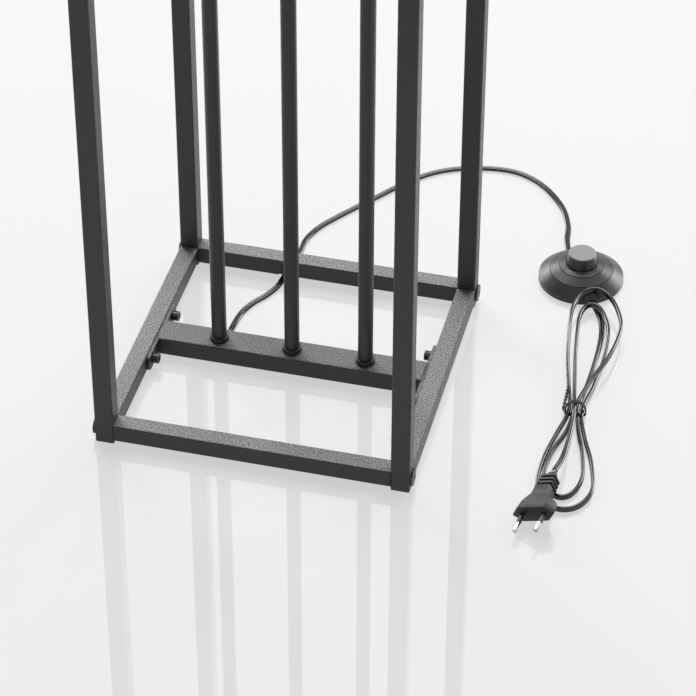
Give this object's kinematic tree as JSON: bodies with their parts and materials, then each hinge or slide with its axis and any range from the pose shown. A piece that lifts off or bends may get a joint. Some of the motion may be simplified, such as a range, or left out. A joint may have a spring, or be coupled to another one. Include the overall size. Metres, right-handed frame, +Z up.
{
  "type": "lantern floor lamp",
  "caption": "Tall open lantern frame of square tube with round stems on a crossbar, bulbs at staggered heights, a foot switch and a bundled mains cord with a flat plug.",
  "frame": {"origin": "centre of the base on the floor, under the four posts", "axes": "+Z up, +X to the right across the crossbar's length, +Y to the back"},
  "size_m": [0.388, 0.4666, 1.15],
  "materials": {
    "frame_coat": "fine textured powder coat, anthracite",
    "satin_coat": "smooth satin powder coat, near black",
    "black_screws": "black oxide, slightly glossy",
    "zinc": "zinc plated",
    "black_plastic": "moulded black plastic",
    "switch_cover": "moulded dark plastic with a fine grain",
    "plug_rubber": "soft moulded plastic",
    "cord_sheath": "soft sheath with a slight gloss",
    "brass": "plain",
    "cap_metal": "rolled sheet",
    "bulb_glass": "faint amber tint",
    "filament": "coated sticks on a glass mount",
    "button_plastic": "light grey",
    "pad_rubber": "matt",
    "pin_metal": "nickel plated"
  },
  "bodies": {
    "lamp": {"post_front_left": "frame_coat", "post_front_right": "frame_coat", "post_back_left": "frame_coat", "post_back_right": "frame_coat", "side_rail_bottom_left": "frame_coat", "side_rail_bottom_right": "frame_coat", "side_rail_top_left": "frame_coat", "side_rail_top_right": "frame_coat", "front_rail_bottom": "frame_coat", "back_rail_bottom": "frame_coat", "front_rail_top": "frame_coat", "back_rail_top": "frame_coat", "rail_inserts": "zinc", "rail_bolts": "black_screws", "post_plugs_bottom": "black_plastic", "post_plugs_top": "black_plastic", "crossbar": "frame_coat", "crossbar_plate_left": "frame_coat", "crossbar_plate_right": "frame_coat", "crossbar_screws": "black_screws", "crossbar_inserts": "zinc", "crossbar_cover": "frame_coat", "stem_left": "satin_coat", "stem_middle": "satin_coat", "stem_right": "satin_coat", "stem_collars": "satin_coat", "stem_nipples": "zinc", "stem_nuts": "zinc", "cord_grommet": "black_plastic", "cord_clamp": "black_plastic", "terminal_block": "black_plastic", "wiring": "cord_sheath", "holder_cup_left": "satin_coat", "holder_cup_middle": "satin_coat", "holder_cup_right": "satin_coat", "holder_socket_left": "black_plastic", "holder_socket_middle": "black_plastic", "holder_socket_right": "black_plastic", "holder_contacts": "brass", "bulb_cap_left": "cap_metal", "bulb_cap_middle": "cap_metal", "bulb_cap_right": "cap_metal", "bulb_glass_left": "bulb_glass", "bulb_glass_middle": "bulb_glass", "bulb_glass_right": "bulb_glass", "bulb_filaments": "filament", "foot_switch_base": "black_plastic", "foot_switch_cover": "switch_cover", "foot_switch_spring": "zinc", "foot_switch_contacts": "brass", "foot_switch_screws": "zinc", "foot_switch_pads": "pad_rubber", "cord_lead": "cord_sheath", "cord_hank": "cord_sheath", "cord_tie": "cord_sheath", "plug_body": "plug_rubber", "plug_sleeves": "black_plastic", "plug_pins": "pin_metal"},
    "switch_button": {"foot_switch_button": "button_plastic", "foot_switch_bridge": "brass"}
  },
  "joints": [
    {"name": "switch_button_press", "type": "slide", "parent": "lamp", "child": "switch_button", "axis": [0, 0, -1], "range_m": [0, 0.003], "stiffness_N_per_m": 1200, "deforming": ["foot_switch_spring"]}
  ]
}
